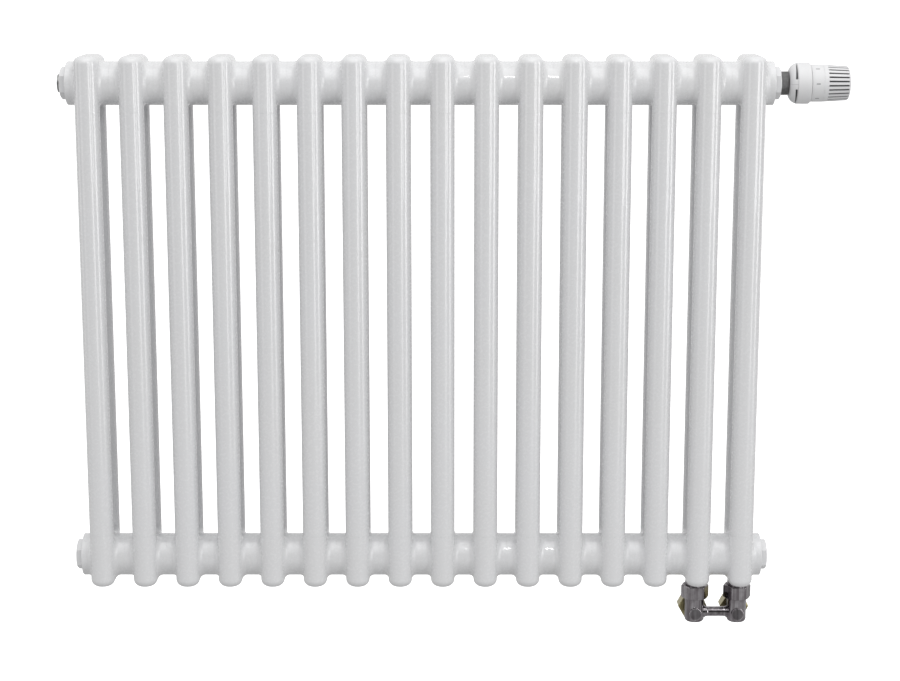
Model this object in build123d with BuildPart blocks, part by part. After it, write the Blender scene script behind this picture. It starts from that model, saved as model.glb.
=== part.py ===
from build123d import *
import math
import os

# Two-column tubular radiator with a thermostatic valve and a bottom H-block.
# Frame: X along the headers, Y towards the wall, Z up. The origin is the point under the
# middle of the top header where a wall hanger takes it. Every size is in millimetres.

# ---- Radiator body ----
SECTION_COUNT = 16
PITCH = 45.0                # one section to the next
HEADER_CENTRES = 500.0      # top header axis to bottom header axis
COLUMN_SPACING = 40.0       # front column axis to rear column axis
COLUMN_OD = 25.0
COLUMN_WALL = 1.5
HUB_OD = 44.5               # one section's share of the header tube
HUB_WALL = 1.5
HEAD_RISE = 28.5            # header axis to the crown of a head
CROWN_ROUND = 7.5           # round between a head's flat crown and its sides
HEAD_LEG = 28.0             # header axis to the joint between head and column tube
HEAD_FILLET = 6.0           # between the hub and the columns
HUB_END_ROUND = 1.0
WEB_INSET = 2.0             # how far the web between the columns starts inside the hub

# ---- Header ends ----
BOSS_LENGTH = 9.0
PLUG_THREAD_OD = 26.2
PLUG_FLATS = 29.0
PLUG_PROUD = 5.8            # hexagon beyond its seal
PLUG_SEAL = 0.8
PLUG_SHANK_WALL = 3.0
VENT_BOSS_OD = 18.5
VENT_BOSS_PROUD = 3.0
VENT_SCREW_OD = 6.0
VENT_SCREW_PROUD = 1.0
VENT_SOCKET_FLATS = 3.0

# ---- Valve in the top header ----
DISC_THICKNESS = 2.0        # seat disc and baffle disc
SEAT_HOLE_OD = 12.0
SEAT_LIP = 0.7
SEAT_LIP_WIDTH = 1.5
VALVE_LIFT = 1.3            # seat lip to valve washer as set
WASHER_OD = 18.0
WASHER_THICKNESS = 3.0
SPINDLE_OD = 4.4
INSERT_NOSE_OD = 14.0
INSERT_NOSE_LENGTH = 15.0
INSERT_THREAD_OD = 18.0
INSERT_SHANK_LENGTH = 21.6
INSERT_RING_OD = 24.0
INSERT_RING_LENGTH = 7.7
INSERT_NECK_OD = 14.0
INSERT_NECK_LENGTH = 14.7
INSERT_BORE_OD = 11.0
INSERT_LIP = 2.0
INSERT_BORE_LENGTH = 20.0
SPRING_WIRE = 1.0
SPRING_MEAN_OD = 8.0
SPRING_LENGTH = 11.2
SPRING_TURNS = 5
SHOULDER_LENGTH = 1.8
SHOULDER_OD = 10.4

# ---- Thermostatic head ----
HEAD_GAP = 0.7              # valve ring to collar
COLLAR_SMALL_OD = 20.4
COLLAR_LENGTH = 7.3
COLLAR_WALL = 1.8
COLLAR_BULGE = 2.2          # how far the dome stands out of a straight cone
COLLAR_SPLIT = 0.3          # line between the two halves of the collar
WINDOW_WIDTH = 1.3
WINDOW_START = 15.0         # degrees from the front, up and down
WINDOW_END = 72.0
BASE_OD = 42.0
BASE_LENGTH = 14.1
BASE_WALL = 2.0
BASE_WEB = 5.3
BASE_BEVEL = 0.8
NUT_FLATS = 30.0
NUT_LENGTH = 8.3
SLEEVE_OD = 26.0
SLEEVE_LENGTH = 12.7
SLEEVE_WALL = 1.5
WHEEL_GAP = 0.4             # base to handwheel
WHEEL_NECK_OD = 37.7
WHEEL_NECK_LENGTH = 12.6
GRIP_START_OD = 37.4
GRIP_END_OD = 34.6
GRIP_LENGTH = 26.5
WHEEL_DOME = 1.8
WHEEL_WALL = 2.0
JOURNAL_SETBACK = 1.8       # neck edge to the ring that runs on the sleeve
JOURNAL_LENGTH = 3.0
SLOT_COUNT = 26
SLOT_WIDTH = 1.4
SLOT_SETBACK = 3.6          # grip start to slot start
SLOT_LENGTH = 20.4
SLOT_PHASE = -4.6           # degrees above the front
MARK_STEP = 52.0
MARK_FIRST = -2
MARK_COUNT = 6
MARK_PHASE = 1.4
MARK_LENGTH = 4.0
MARK_WIDTH = 1.3
MARK_DEPTH = 0.3
MARK_SETBACK = 4.0
SENSOR_OD = 24.0
SENSOR_LENGTH = 22.0
SENSOR_FLANGE_OD = 32.0
SENSOR_FLANGE = 2.5
SENSOR_SETBACK = 2.0        # sleeve end to sensor
PIN_GAP = 0.4               # spindle to sensor pin

# ---- H-block under the last two sections ----
NIPPLE_OD = 20.9
NIPPLE_BORE = 15.0
NIPPLE_INSIDE = 18.0        # header axis to the nipple's inner end
NIPPLE_REACH = 40.5         # header axis to the nipple's outer end
GASKET = 1.0
UNION_FLATS = 26.0
UNION_TOP = 33.5            # header axis to the top of the union nut
UNION_LENGTH = 14.5
UNION_LIP = 2.5
UNION_TURN = 4.0            # degrees off square to the front
TAIL_FLANGE_OD = 20.2
TAIL_FLANGE = 1.5
TAIL_NECK_OD = 17.2
BLOCK_OD = 20.5
BLOCK_BOTTOM = 74.2         # header axis to the block's underside
BLOCK_ROUND = 3.2
BLOCK_BORE = 13.0
BLOCK_GAP = 0.3             # union nut to block
CROSS_DROP = 64.0           # header axis to the cross axis
BALL_CLEARANCE = 0.1
BALL_PORT = 7.6
STEM_OD = 6.0
STEM_SOCKET_FLATS = 3.0
STEM_SOCKET_DEPTH = 2.5
STEM_REACH = 8.0            # block axis to the stem's end
CAP_OD = 13.4
CAP_SEAT = 10.6             # block axis to the cap's seat
CAP_THICKNESS = 1.6
CAP_SKIRT_OD = 10.4
CAP_SKIRT = 2.2
STEM_GUIDE_START = 7.4
BRIDGE_OD = 11.0
BRIDGE_BORE = 6.0
BRIDGE_COLLAR_OD = 12.6
BRIDGE_COLLAR_REACH = 11.6  # block axis to the collar's face
SPIGOT_OD = 19.0
SPIGOT_REACH = 28.0
PIPE_OD = 16.0
PIPE_STOP = 11.0            # block axis to the pipe's stop
OUTLET_BORE = 10.0
PIPE_NUT_FLATS = 27.0
PIPE_NUT_START = 16.0
PIPE_NUT_LENGTH = 17.0
PIPE_NUT_LIP = 3.5
LIP_CLEARANCE = 0.1

# ---- Fits ----
RUNNING = 0.05              # radial clearance of a turning or sliding fit
THREAD = 0.05               # radial clearance of a screwed fit
CORNER = 30.0               # degrees of a nut's turned corner

# ---- Places that follow from the sizes above ----
hub_radius = HUB_OD / 2
hub_bore = hub_radius - HUB_WALL
column_radius = COLUMN_OD / 2
column_bore = column_radius - COLUMN_WALL
top_axis = hub_radius
bottom_axis = top_axis - HEADER_CENTRES
half_length = SECTION_COUNT * PITCH / 2
section_xs = [(i + 0.5) * PITCH - half_length for i in range(SECTION_COUNT)]
valve_plane = section_xs[-1] - PITCH / 2
supply_x = section_xs[-1]
return_x = section_xs[-2]
half_column_spacing = COLUMN_SPACING / 2
thread_bore = PLUG_THREAD_OD / 2 + THREAD

os.makedirs("parts", exist_ok=True)


def write(part: Part, name: str) -> None:
    """Label a finished piece and write it as its own STEP file."""
    part.label = name
    export_step(part, f"parts/{name}.step")


def across_x(x: float, z: float) -> Plane:
    """Sketch plane square to X, looking towards +X, with its origin on a header axis."""
    return Plane(origin=(x, 0, z), x_dir=(0, 1, 0), z_dir=(1, 0, 0))


def outline_plane(z: float) -> Plane:
    """Plane for the outline (x, radius) of a piece turned about a header axis."""
    return Plane(origin=(0, 0, z), x_dir=(1, 0, 0), z_dir=(0, -1, 0))


def axis_x(z: float) -> Axis:
    """Axis along X at a height."""
    return Axis((0, 0, z), (1, 0, 0))


def turned_x(outline: list, z: float) -> Part:
    """Piece turned about a header axis from a closed outline of (x, radius) points."""
    with BuildPart() as piece:
        with BuildSketch(outline_plane(z)):
            with BuildLine():
                Polyline(*outline, close=True)
            make_face()
        revolve(axis=axis_x(z))
    return piece.part


def turned_z(outline: list, x: float) -> Part:
    """Piece turned about the vertical through (x, 0) from closed (radius, z) points."""
    with BuildPart() as piece:
        with BuildSketch(Plane(origin=(x, 0, 0), x_dir=(1, 0, 0), z_dir=(0, -1, 0))):
            with BuildLine():
                Polyline(*outline, close=True)
            make_face()
        revolve(axis=Axis((x, 0, 0), (0, 0, 1)))
    return piece.part


def rod(plane: Plane, diameter: float, length: float, bore: float = 0.0) -> Part:
    """Round bar or tube standing on a plane."""
    with BuildPart() as piece:
        with BuildSketch(plane):
            Circle(diameter / 2)
            if bore:
                Circle(bore / 2, mode=Mode.SUBTRACT)
        extrude(amount=length)
    return piece.part


def hexagon(plane: Plane, flats: float, length: float, turn: float, ends: str) -> Part:
    """Hexagonal block on a plane, with the corners of the named ends turned to a cone."""
    corner = flats / 2 / math.cos(math.radians(30))
    width = corner - flats / 2
    height = width * math.tan(math.radians(CORNER))
    with BuildPart() as blank:
        with BuildSketch(plane):
            Circle(corner)
        extrude(amount=length)
        rims = blank.edges().filter_by(GeomType.CIRCLE).sort_by(Axis(plane.origin, plane.z_dir))
        if ends == "both":
            chamfer(rims[0], length=height, length2=width)
        rims = blank.edges().filter_by(GeomType.CIRCLE).sort_by(Axis(plane.origin, plane.z_dir))
        chamfer(rims[-1], length=height, length2=width)
    with BuildPart() as piece:
        with BuildSketch(plane):
            RegularPolygon(flats / 2, 6, major_radius=False, rotation=turn)
        extrude(amount=length)
        add(blank.part, mode=Mode.INTERSECT)
    return piece.part


# ---- Heads: hub, two columns and a rounded ridge joining them over the hub ----


def head_body(column: float, hub: float, shell: float, fillet_radius: float) -> Part:
    """Solid of a head about its header axis, crown up.

    The outside has a shell of 0. The hollow is the same solid, smaller by the shell.
    """
    seat = math.sqrt(max(0.0, hub ** 2 - half_column_spacing ** 2))
    foot = seat - WEB_INSET
    with BuildPart() as body:
        with BuildSketch(Plane.XY.offset(foot)):
            SlotCenterToCenter(COLUMN_SPACING, 2 * column, rotation=90)
        extrude(amount=HEAD_RISE - shell - foot)
        crown = body.faces().sort_by(Axis.Z)[-1]
        fillet(crown.edges(), CROWN_ROUND - shell)
        with BuildSketch(Plane.XY.offset(-HEAD_LEG)):
            with Locations((0, -half_column_spacing), (0, half_column_spacing)):
                Circle(column)
        extrude(amount=HEAD_LEG + foot)
        with BuildSketch(Plane.YZ.offset(-PITCH / 2)):
            Circle(hub)
        extrude(amount=PITCH)
        if fillet_radius:
            seams = [edge for edge in body.edges() if lies_on_hub(edge, hub)]
            fillet(seams, fillet_radius)
    return body.part


def lies_on_hub(edge: Edge, hub: float) -> bool:
    """True for a seam between the hub and the columns, and false for the hub's rims."""
    places = [edge @ share for share in (0.1, 0.5, 0.9)]
    inside = all(abs(place.X) < PITCH / 2 - 1e-3 for place in places)
    return inside and all(abs(math.hypot(place.Y, place.Z) - hub) < 0.01 for place in places)


hollow = head_body(column_bore, hub_bore, COLUMN_WALL, 0.0)
with BuildPart() as head_template:
    add(head_body(column_radius, hub_radius, 0.0, HEAD_FILLET))
    add(hollow, mode=Mode.SUBTRACT)
top_form = head_template.part
bottom_form = mirror(top_form, about=Plane.XY)

for index, x in enumerate(section_xs):
    outer_side = -1 if index == 0 else 1
    at_end = index in (0, SECTION_COUNT - 1)
    with BuildPart() as top_head:
        with Locations((x, 0, top_axis)):
            add(top_form)
        if at_end:
            rims = top_head.edges().filter_by(GeomType.CIRCLE).sort_by(Axis.X)
            rims = [rim for rim in rims if abs(rim.radius - hub_radius) < 1e-3]
            fillet(rims[0] if outer_side < 0 else rims[-1], HUB_END_ROUND)
    write(top_head.part, f"top_head_{index + 1:02d}")

    with BuildPart() as bottom_head:
        with Locations((x, 0, bottom_axis)):
            add(bottom_form)
        if at_end:
            rims = bottom_head.edges().filter_by(GeomType.CIRCLE).sort_by(Axis.X)
            rims = [rim for rim in rims if abs(rim.radius - hub_radius) < 1e-3]
            fillet(rims[0] if outer_side < 0 else rims[-1], HUB_END_ROUND)
        if x in (supply_x, return_x):
            with BuildSketch(Plane(origin=(x, 0, bottom_axis - NIPPLE_REACH))):
                Circle(NIPPLE_OD / 2)
            extrude(amount=NIPPLE_REACH - NIPPLE_INSIDE, mode=Mode.SUBTRACT)
    write(bottom_head.part, f"bottom_head_{index + 1:02d}")

# ---- Column tubes between the heads ----
tube_foot = bottom_axis + HEAD_LEG
tube_length = HEADER_CENTRES - 2 * HEAD_LEG

with BuildPart() as front_tubes:
    with BuildSketch(Plane.XY.offset(tube_foot)):
        with Locations(*[(x, -half_column_spacing) for x in section_xs]):
            Circle(column_radius)
            Circle(column_bore, mode=Mode.SUBTRACT)
    extrude(amount=tube_length)
write(front_tubes.part, "front_tubes")

with BuildPart() as rear_tubes:
    with BuildSketch(Plane.XY.offset(tube_foot)):
        with Locations(*[(x, half_column_spacing) for x in section_xs]):
            Circle(column_radius)
            Circle(column_bore, mode=Mode.SUBTRACT)
    extrude(amount=tube_length)
write(rear_tubes.part, "rear_tubes")

# ---- Header ends: threaded bosses, plugs, bush, vent and seals ----
left_face = -half_length
right_face = half_length
boss_inner = half_length - BOSS_LENGTH

with BuildPart() as end_bosses:
    for z in (top_axis, bottom_axis):
        add(rod(across_x(left_face, z), 2 * hub_bore, BOSS_LENGTH, 2 * thread_bore))
        add(rod(across_x(boss_inner, z), 2 * hub_bore, BOSS_LENGTH, 2 * thread_bore))
write(end_bosses.part, "end_bosses")


def plug(side: int, z: float, bore: float, flange_bore: float) -> Part:
    """Hexagon plug in a header end: side -1 is the left end and +1 the right one."""
    face = side * (half_length + PLUG_SEAL)
    out = Plane(origin=(face, 0, z), x_dir=(0, 1, 0), z_dir=(side, 0, 0))
    back = Plane(origin=(face, 0, z), x_dir=(0, 1, 0), z_dir=(-side, 0, 0))
    with BuildPart() as piece:
        add(hexagon(out, PLUG_FLATS, PLUG_PROUD, 30.0, "outer"))
        add(rod(back, PLUG_THREAD_OD, PLUG_SEAL + BOSS_LENGTH))
        with BuildSketch(back):
            Circle(bore / 2)
        extrude(amount=PLUG_SEAL + BOSS_LENGTH, mode=Mode.SUBTRACT)
        if flange_bore:
            with BuildSketch(back):
                Circle(flange_bore / 2)
            extrude(amount=PLUG_SEAL + BOSS_LENGTH, mode=Mode.SUBTRACT)
            with BuildSketch(out):
                Circle(flange_bore / 2)
            extrude(amount=PLUG_PROUD, mode=Mode.SUBTRACT)
    return piece.part


shank_bore = PLUG_THREAD_OD - 2 * PLUG_SHANK_WALL
with BuildPart() as blind_plugs:
    add(plug(-1, bottom_axis, shank_bore, 0.0))
    add(plug(1, bottom_axis, shank_bore, 0.0))
write(blind_plugs.part, "blind_plugs")

vent_bore = VENT_SCREW_OD + 2 * RUNNING
with BuildPart() as vent_plug:
    add(plug(-1, top_axis, shank_bore, vent_bore))
write(vent_plug.part, "vent_plug")

plug_outer = half_length + PLUG_SEAL + PLUG_PROUD
with BuildPart() as vent_boss:
    vent_face = Plane(origin=(-plug_outer, 0, top_axis), x_dir=(0, 1, 0), z_dir=(-1, 0, 0))
    add(rod(vent_face, VENT_BOSS_OD, VENT_BOSS_PROUD, vent_bore))
    rims = vent_boss.edges().filter_by(GeomType.CIRCLE).sort_by(Axis.X)
    chamfer([rim for rim in rims if rim.radius > VENT_SCREW_OD][0], 0.5)
write(vent_boss.part, "vent_boss")

with BuildPart() as vent_screw:
    screw_end = -(plug_outer + VENT_BOSS_PROUD + VENT_SCREW_PROUD)
    screw_length = VENT_SCREW_PROUD + VENT_BOSS_PROUD + PLUG_PROUD
    add(rod(across_x(screw_end, top_axis), VENT_SCREW_OD, screw_length))
    with BuildSketch(across_x(screw_end, top_axis)):
        RegularPolygon(VENT_SOCKET_FLATS / 2, 6, major_radius=False)
    extrude(amount=screw_length / 2, mode=Mode.SUBTRACT)
write(vent_screw.part, "vent_screw")

insert_bore = INSERT_THREAD_OD + 2 * THREAD
with BuildPart() as valve_bush:
    add(plug(1, top_axis, insert_bore, insert_bore))
write(valve_bush.part, "valve_bush")

nipple_foot = bottom_axis - NIPPLE_REACH
with BuildPart() as seals:
    for z in (top_axis, bottom_axis):
        add(rod(across_x(left_face - PLUG_SEAL, z), PLUG_FLATS - 1, PLUG_SEAL, 2 * thread_bore))
        add(rod(across_x(right_face, z), PLUG_FLATS - 1, PLUG_SEAL, 2 * thread_bore))
    for x in (supply_x, return_x):
        gasket_plane = Plane(origin=(x, 0, nipple_foot - GASKET))
        add(rod(gasket_plane, TAIL_FLANGE_OD, GASKET, NIPPLE_BORE))
write(seals.part, "seals")

# ---- Discs inside the headers, between the last two sections ----
disc_back = valve_plane - DISC_THICKNESS / 2
disc_face = valve_plane + DISC_THICKNESS / 2
seat_radius = SEAT_HOLE_OD / 2
lip_end = disc_face + SEAT_LIP
with BuildPart() as header_discs:
    add(turned_x([
        (disc_back, seat_radius), (lip_end, seat_radius),
        (lip_end, seat_radius + SEAT_LIP_WIDTH), (disc_face, seat_radius + SEAT_LIP_WIDTH),
        (disc_face, hub_bore), (disc_back, hub_bore),
    ], top_axis))
    add(rod(across_x(disc_back, bottom_axis), 2 * hub_bore, DISC_THICKNESS))
write(header_discs.part, "header_discs")

# ---- Valve insert, spindle and return spring ----
ring_start = plug_outer
ring_end = ring_start + INSERT_RING_LENGTH
shank_start = ring_start - INSERT_SHANK_LENGTH
nose_start = shank_start - INSERT_NOSE_LENGTH
neck_end = ring_end + INSERT_NECK_LENGTH
spindle_bore = SPINDLE_OD / 2 + RUNNING
lip_face = nose_start + INSERT_LIP
bore_end = lip_face + INSERT_BORE_LENGTH
nose_radius = INSERT_NOSE_OD / 2
thread_radius = INSERT_THREAD_OD / 2
ring_radius = INSERT_RING_OD / 2
neck_radius = INSERT_NECK_OD / 2
bore_radius = INSERT_BORE_OD / 2
write(turned_x([
    (nose_start, spindle_bore), (lip_face, spindle_bore), (lip_face, bore_radius),
    (bore_end, bore_radius), (bore_end, spindle_bore), (neck_end, spindle_bore),
    (neck_end, neck_radius), (ring_end, neck_radius), (ring_end, ring_radius),
    (ring_start, ring_radius), (ring_start, thread_radius), (shank_start, thread_radius),
    (shank_start, nose_radius), (nose_start, nose_radius),
], top_axis), "valve_insert")

spindle_radius = SPINDLE_OD / 2
washer_start = lip_end + VALVE_LIFT
washer_end = washer_start + WASHER_THICKNESS
spring_end = lip_face + SPRING_LENGTH
shoulder_end = spring_end + SHOULDER_LENGTH
spindle_end = neck_end + 1.0
washer_radius = WASHER_OD / 2
shoulder_radius = SHOULDER_OD / 2
write(turned_x([
    (washer_start, 0), (washer_start, washer_radius), (washer_end, washer_radius),
    (washer_end, spindle_radius), (spring_end, spindle_radius), (spring_end, shoulder_radius),
    (shoulder_end, shoulder_radius), (shoulder_end, spindle_radius),
    (spindle_end, spindle_radius), (spindle_end, 0),
], top_axis), "valve_spindle")

spring_reach = SPRING_LENGTH - SPRING_WIRE
with BuildPart() as return_spring:
    spring_foot = (lip_face + SPRING_WIRE / 2, 0, top_axis)
    with BuildLine():
        coil = Helix(
            spring_reach / SPRING_TURNS, spring_reach, SPRING_MEAN_OD / 2,
            center=spring_foot, direction=(1, 0, 0),
        )
    with BuildSketch(Plane(origin=coil @ 0, z_dir=coil % 0)):
        Circle(SPRING_WIRE / 2)
    sweep(path=coil, is_frenet=True)
write(return_spring.part, "return_spring")

# ---- Head collar: a dome in two halves round the valve neck ----
collar_start = ring_end + HEAD_GAP
collar_end = collar_start + COLLAR_LENGTH
collar_small = COLLAR_SMALL_OD / 2
collar_large = BASE_OD / 2 - BASE_BEVEL / 2
neck_bore = neck_radius + THREAD


def dome(inset: float) -> tuple:
    """Start, middle and end of the collar's arc, moved in by an inset."""
    start = (collar_start + inset, collar_small - inset * 0.2)
    end = (collar_end, collar_large - inset)
    span = math.hypot(end[0] - start[0], end[1] - start[1])
    across = (-(end[1] - start[1]) / span, (end[0] - start[0]) / span)
    middle = ((start[0] + end[0]) / 2 + across[0] * COLLAR_BULGE,
              (start[1] + end[1]) / 2 + across[1] * COLLAR_BULGE)
    return start, middle, end


with BuildPart() as head_collar:
    outer_dome = dome(0.0)
    inner_dome = dome(COLLAR_WALL)
    with BuildSketch(outline_plane(top_axis)):
        with BuildLine():
            ThreePointArc(*outer_dome)
            Line(outer_dome[2], inner_dome[2])
            ThreePointArc(*inner_dome)
            Line(inner_dome[0], (inner_dome[0][0], neck_bore))
            Line((inner_dome[0][0], neck_bore), (collar_start, neck_bore))
            Line((collar_start, neck_bore), outer_dome[0])
        make_face()
    revolve(axis=axis_x(top_axis))
    middle_x = (collar_start + collar_end) / 2
    with Locations((middle_x, 0, top_axis)):
        Box(2 * COLLAR_LENGTH, 2 * BASE_OD, COLLAR_SPLIT, mode=Mode.SUBTRACT)
    window_sweep = WINDOW_END - WINDOW_START
    for first in (WINDOW_START, -WINDOW_END, 180 + WINDOW_START, 180 - WINDOW_END):
        across = math.radians(first)
        radial = (0, -math.cos(across), math.sin(across))
        normal = (0, -math.sin(across), -math.cos(across))
        with BuildSketch(Plane(origin=(0, 0, top_axis), x_dir=(1, 0, 0), z_dir=normal)):
            with Locations((collar_end, collar_large * 1.0)):
                Rectangle(2 * WINDOW_WIDTH, 4 * COLLAR_WALL)
        revolve(axis=Axis((0, 0, top_axis), (-1, 0, 0)), revolution_arc=window_sweep, mode=Mode.SUBTRACT)
write(head_collar.part, "head_collar")

# ---- Head base: fixed ring, web and the sleeve that carries the handwheel ----
base_start = collar_end + 0.2
base_end = base_start + BASE_LENGTH
web_start = base_end - BASE_WEB
base_radius = BASE_OD / 2
base_bore = base_radius - BASE_WALL
sleeve_radius = SLEEVE_OD / 2
sleeve_end = base_end + SLEEVE_LENGTH
sleeve_bore = sleeve_radius - SLEEVE_WALL
write(turned_x([
    (base_start, base_bore), (base_start, base_radius - BASE_BEVEL / 2),
    (base_start + BASE_BEVEL, base_radius), (base_end - BASE_BEVEL, base_radius),
    (base_end, base_radius - BASE_BEVEL), (base_end, sleeve_radius), (sleeve_end, sleeve_radius),
    (sleeve_end, sleeve_bore), (base_end, sleeve_bore), (base_end, spindle_bore),
    (web_start, spindle_bore), (web_start, base_bore),
], top_axis), "head_base")

with BuildPart() as head_union_nut:
    nut_plane = across_x(web_start - NUT_LENGTH, top_axis)
    add(hexagon(nut_plane, NUT_FLATS, NUT_LENGTH, 30.0, "both"))
    with BuildSketch(nut_plane):
        Circle(neck_bore)
    extrude(amount=NUT_LENGTH, mode=Mode.SUBTRACT)
write(head_union_nut.part, "head_union_nut")

# ---- Handwheel: neck with marks, slotted grip and domed end ----
wheel_start = base_end + WHEEL_GAP
neck_stop = wheel_start + WHEEL_NECK_LENGTH
grip_start = neck_stop + 1.0
grip_end = grip_start + GRIP_LENGTH
wheel_radius = WHEEL_NECK_OD / 2
grip_first = GRIP_START_OD / 2
grip_last = GRIP_END_OD / 2
journal_start = wheel_start + JOURNAL_SETBACK
journal_end = journal_start + JOURNAL_LENGTH
journal_bore = sleeve_radius + RUNNING
with BuildPart() as handwheel:
    with BuildSketch(outline_plane(top_axis)):
        with BuildLine():
            Polyline(
                (grip_end, 0), (grip_end - WHEEL_WALL, 0),
                (grip_end - WHEEL_WALL, grip_last - WHEEL_WALL),
                (grip_start, grip_first - WHEEL_WALL), (journal_end, wheel_radius - WHEEL_WALL),
                (journal_end, journal_bore), (journal_start, journal_bore),
                (journal_start, wheel_radius - WHEEL_WALL), (wheel_start, wheel_radius - WHEEL_WALL),
                (wheel_start, wheel_radius), (neck_stop, wheel_radius), (grip_start, grip_first),
                (grip_end - WHEEL_DOME, grip_last),
            )
            ThreePointArc(
                (grip_end - WHEEL_DOME, grip_last),
                (grip_end - WHEEL_DOME * 0.32, grip_last - WHEEL_DOME * 0.85),
                (grip_end, grip_last - WHEEL_DOME * 2.2),
            )
            Line((grip_end, grip_last - WHEEL_DOME * 2.2), (grip_end, 0))
        make_face()
    revolve(axis=axis_x(top_axis))
    slot_middle = grip_start + SLOT_SETBACK + SLOT_LENGTH / 2
    with Locations(across_x(slot_middle, top_axis)):
        with PolarLocations(grip_last, SLOT_COUNT, start_angle=180 - SLOT_PHASE):
            Box(4 * WHEEL_WALL, SLOT_WIDTH, SLOT_LENGTH, mode=Mode.SUBTRACT)
    mark_middle = wheel_start + MARK_SETBACK + MARK_LENGTH / 2
    for number in range(MARK_COUNT):
        angle = 180 - (MARK_PHASE + (MARK_FIRST + number) * MARK_STEP)
        with Locations(across_x(mark_middle, top_axis)):
            with PolarLocations(wheel_radius, 1, start_angle=angle):
                Box(2 * MARK_DEPTH, MARK_WIDTH, MARK_LENGTH, mode=Mode.SUBTRACT)
write(handwheel.part, "handwheel")

# ---- Sensor: wax cylinder with a pin to the spindle ----
sensor_start = sleeve_end + SENSOR_SETBACK
sensor_end = sensor_start + SENSOR_LENGTH
sensor_radius = SENSOR_OD / 2
flange_radius = SENSOR_FLANGE_OD / 2
flange_start = sensor_start + 0.5
flange_end = flange_start + SENSOR_FLANGE
pin_start = spindle_end + PIN_GAP
write(turned_x([
    (pin_start, 0), (pin_start, spindle_radius), (sensor_start, spindle_radius),
    (sensor_start, sensor_radius), (flange_start, sensor_radius), (flange_start, flange_radius),
    (flange_end, flange_radius), (flange_end, sensor_radius), (sensor_end, sensor_radius),
    (sensor_end, 0),
], top_axis), "sensor")

# ---- H-block: nipples, union nuts, two blocks, bridge, ball stems, caps and pipe nuts ----
with BuildPart() as connection_nipples:
    for x in (supply_x, return_x):
        foot = Plane(origin=(x, 0, nipple_foot))
        add(rod(foot, NIPPLE_OD, NIPPLE_REACH - NIPPLE_INSIDE, NIPPLE_BORE))
write(connection_nipples.part, "connection_nipples")

nut_foot = bottom_axis - UNION_TOP - UNION_LENGTH
with BuildPart() as hblock_union_nuts:
    for x in (supply_x, return_x):
        foot = Plane(origin=(x, 0, nut_foot))
        add(hexagon(foot, UNION_FLATS, UNION_LENGTH, UNION_TURN, "both"))
    for x in (supply_x, return_x):
        with BuildSketch(Plane(origin=(x, 0, nut_foot + UNION_LIP))):
            Circle(NIPPLE_OD / 2 + THREAD)
        extrude(amount=UNION_LENGTH - UNION_LIP, mode=Mode.SUBTRACT)
        with BuildSketch(Plane(origin=(x, 0, nut_foot))):
            Circle(TAIL_NECK_OD / 2 + THREAD)
        extrude(amount=UNION_LIP, mode=Mode.SUBTRACT)
write(hblock_union_nuts.part, "hblock_union_nuts")

tail_top = nipple_foot - GASKET
cross_axis = bottom_axis - CROSS_DROP
block_top = nut_foot - BLOCK_GAP
block_foot = bottom_axis - BLOCK_BOTTOM
block_radius = BLOCK_OD / 2
bore = BLOCK_BORE / 2
ball_radius = bore - BALL_CLEARANCE
cup_foot = cross_axis - bore - BALL_CLEARANCE


def forwards(x: float, y: float) -> Plane:
    """Plane on the cross axis that faces the front."""
    return Plane(origin=(x, y, cross_axis), x_dir=(1, 0, 0), z_dir=(0, -1, 0))


def backwards(x: float, y: float) -> Plane:
    """Plane on the cross axis that faces the wall."""
    return Plane(origin=(x, y, cross_axis), x_dir=(-1, 0, 0), z_dir=(0, 1, 0))


def block(x: float, side: int) -> Part:
    """One valve block; side is +1 where the bridge leaves it towards +X, else -1."""
    shell = turned_z([
        (0, tail_top), (TAIL_FLANGE_OD / 2, tail_top), (TAIL_FLANGE_OD / 2, tail_top - TAIL_FLANGE),
        (TAIL_NECK_OD / 2, tail_top - TAIL_FLANGE), (TAIL_NECK_OD / 2, block_top),
        (block_radius, block_top), (block_radius, block_foot), (0, block_foot),
    ], x)
    with BuildPart() as piece:
        add(shell)
        fillet(piece.edges().filter_by(GeomType.CIRCLE).sort_by(Axis.Z)[0], BLOCK_ROUND)
        with BuildSketch(forwards(x, 0)):
            Circle(CAP_OD / 2)
        extrude(amount=CAP_SEAT)
        with BuildSketch(backwards(x, 0)):
            Circle(SPIGOT_OD / 2)
        extrude(amount=SPIGOT_REACH)
        with BuildSketch(Plane(origin=(x, 0, cross_axis), x_dir=(0, 1, 0), z_dir=(side, 0, 0))):
            Circle(BRIDGE_COLLAR_OD / 2)
        extrude(amount=BRIDGE_COLLAR_REACH)
        with BuildSketch(Plane(origin=(x, 0, cup_foot))):
            Circle(bore)
        extrude(amount=tail_top - cup_foot, mode=Mode.SUBTRACT)
        with BuildSketch(forwards(x, 0)):
            Circle(STEM_OD / 2 + RUNNING)
        extrude(amount=CAP_SEAT, mode=Mode.SUBTRACT)
        with BuildSketch(forwards(x, -STEM_GUIDE_START)):
            Circle(CAP_SKIRT_OD / 2 + RUNNING)
        extrude(amount=CAP_SEAT, mode=Mode.SUBTRACT)
        with BuildSketch(backwards(x, 0)):
            Circle(OUTLET_BORE / 2)
        extrude(amount=SPIGOT_REACH, mode=Mode.SUBTRACT)
        with BuildSketch(backwards(x, PIPE_STOP)):
            Circle(PIPE_OD / 2)
        extrude(amount=SPIGOT_REACH, mode=Mode.SUBTRACT)
        with BuildSketch(Plane(origin=(x, 0, cross_axis), x_dir=(0, 1, 0), z_dir=(side, 0, 0))):
            Circle(BRIDGE_BORE / 2)
        extrude(amount=BRIDGE_COLLAR_REACH, mode=Mode.SUBTRACT)
    return piece.part


write(block(supply_x, -1), "hblock_supply_body")
write(block(return_x, 1), "hblock_return_body")

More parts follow.
